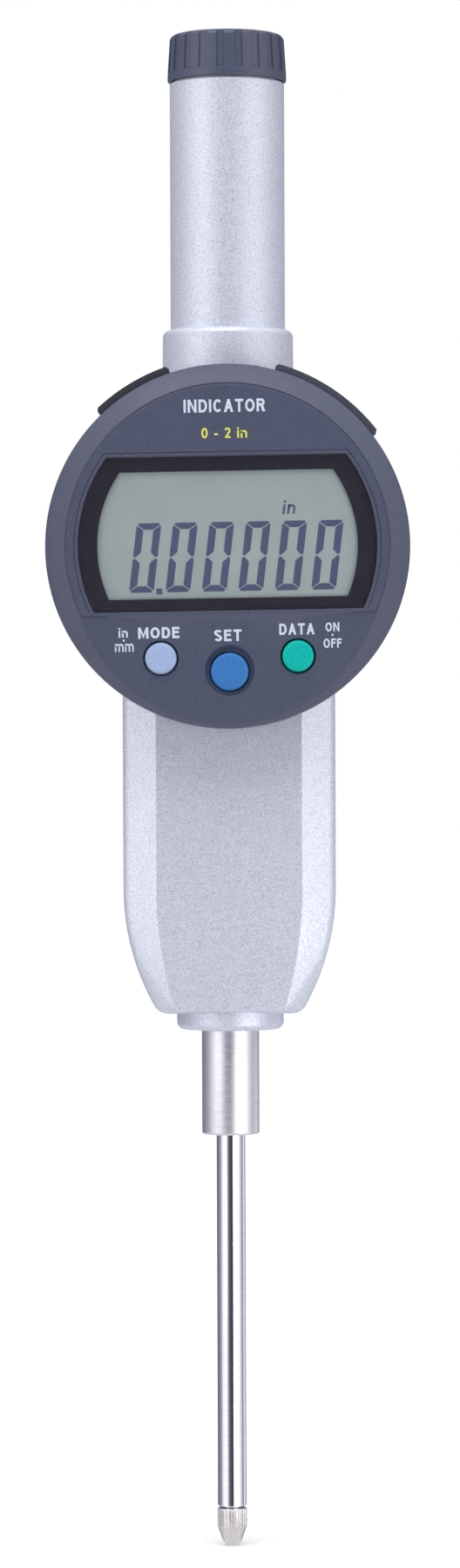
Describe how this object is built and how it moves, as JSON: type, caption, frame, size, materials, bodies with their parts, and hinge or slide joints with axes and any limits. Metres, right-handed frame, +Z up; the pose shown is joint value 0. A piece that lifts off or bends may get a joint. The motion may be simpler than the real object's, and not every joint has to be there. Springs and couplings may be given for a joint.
{
  "type": "digital dial indicator",
  "caption": "Long-stroke digital dial indicator: round face that turns on a slim case, tall upper tube, clamping stem, sliding spindle with a contact point, and a back lug.",
  "frame": {"origin": "middle of the stem's clamping length, on the spindle's axis", "axes": "+Z up along the spindle away from the contact point, -Y towards the reader of the display, +X to the reader's right"},
  "size_m": [0.0592, 0.0474, 0.251],
  "materials": {
    "paint": "silver paint with a fine sparkle, satin",
    "slate": "dark blue-grey paint, satin",
    "steel": "turned, satin",
    "chrome": "ground and polished",
    "spring_steel": "drawn wire",
    "alloy": "milled",
    "black_screw": "black oxide",
    "bronze": "turned bronze",
    "rubber": "matt",
    "black_plastic": "fine matt",
    "lid_plastic": "fine matt",
    "board": "solder resist",
    "flex": "amber film",
    "scale": "patterned strip",
    "lens": "clear, polished",
    "lcd": "grey-green display glass",
    "cell": "plated can",
    "lavender_button": "moulded, satin",
    "blue_button": "moulded, satin",
    "green_button": "moulded, satin"
  },
  "bodies": {
    "case": {"main_case": "paint", "rear_cover": "paint", "rear_cover_screws": "black_screw", "lug_back": "slate", "lug_screws": "steel", "upper_tube": "paint", "stem": "steel", "lower_bushing": "bronze", "spindle_wiper": "rubber", "upper_bushing": "bronze", "guide_rail": "steel", "detector_board": "board", "detector_chip": "black_plastic", "detector_bracket": "steel", "bracket_screws": "steel", "return_spring": "spring_steel", "spring_post": "steel", "lower_bumper": "rubber", "swivel_hub": "steel", "hub_retainer": "steel", "hub_screws": "steel", "friction_ring": "rubber", "flex_coil": "flex"},
    "spindle": {"spindle": "chrome", "contact_point": "steel", "scale_carrier": "alloy", "carrier_screw": "black_screw", "scale_strip": "scale", "guide_roller": "bronze", "spindle_top": "black_plastic"},
    "face": {"bezel": "slate", "face_back": "slate", "face_screws": "steel", "window": "lens", "display_mask": "black_plastic", "lcd_panel": "lcd", "zebra_strip": "rubber", "main_board": "board", "board_parts": "black_plastic", "key_switches": "steel", "battery_cell": "cell", "battery_contacts": "bronze", "data_socket": "black_plastic"},
    "tube_cap": {"tube_cap": "slate"},
    "battery_lid": {"battery_lid": "lid_plastic", "lid_screws": "steel"},
    "connector_cover": {"connector_cover": "rubber"},
    "mode_button": {"mode_button": "lavender_button"},
    "set_button": {"set_button": "blue_button"},
    "data_button": {"data_button": "green_button"}
  },
  "joints": [
    {"name": "spindle_slide", "type": "slide", "parent": "case", "child": "spindle", "axis": [0, 0, 1], "range_m": [0, 0.0508], "stiffness_N_per_m": 15, "springref_m": -0.08, "deforming": ["return_spring"]},
    {"name": "face_turn", "type": "hinge", "parent": "case", "child": "face", "pos_m": [0, 0, 0.08825], "axis": [0, -1, 0], "range_deg": [-165, 165]},
    {"name": "cap_off", "type": "slide", "parent": "case", "child": "tube_cap", "axis": [0, 0, 1], "range_m": [0, 0.01]},
    {"name": "battery_lid_off", "type": "slide", "parent": "face", "child": "battery_lid", "axis": [0.5585, 0, 0.8295], "range_m": [0, 0.01]},
    {"name": "connector_cover_off", "type": "slide", "parent": "face", "child": "connector_cover", "axis": [-0.5143, 0, 0.8576], "range_m": [0, 0.01]},
    {"name": "mode_press", "type": "slide", "parent": "face", "child": "mode_button", "axis": [0, 1, 0], "range_m": [0, 0.0006], "stiffness_N_per_m": 900},
    {"name": "set_press", "type": "slide", "parent": "face", "child": "set_button", "axis": [0, 1, 0], "range_m": [0, 0.0006], "stiffness_N_per_m": 900},
    {"name": "data_press", "type": "slide", "parent": "face", "child": "data_button", "axis": [0, 1, 0], "range_m": [0, 0.0006], "stiffness_N_per_m": 900}
  ]
}
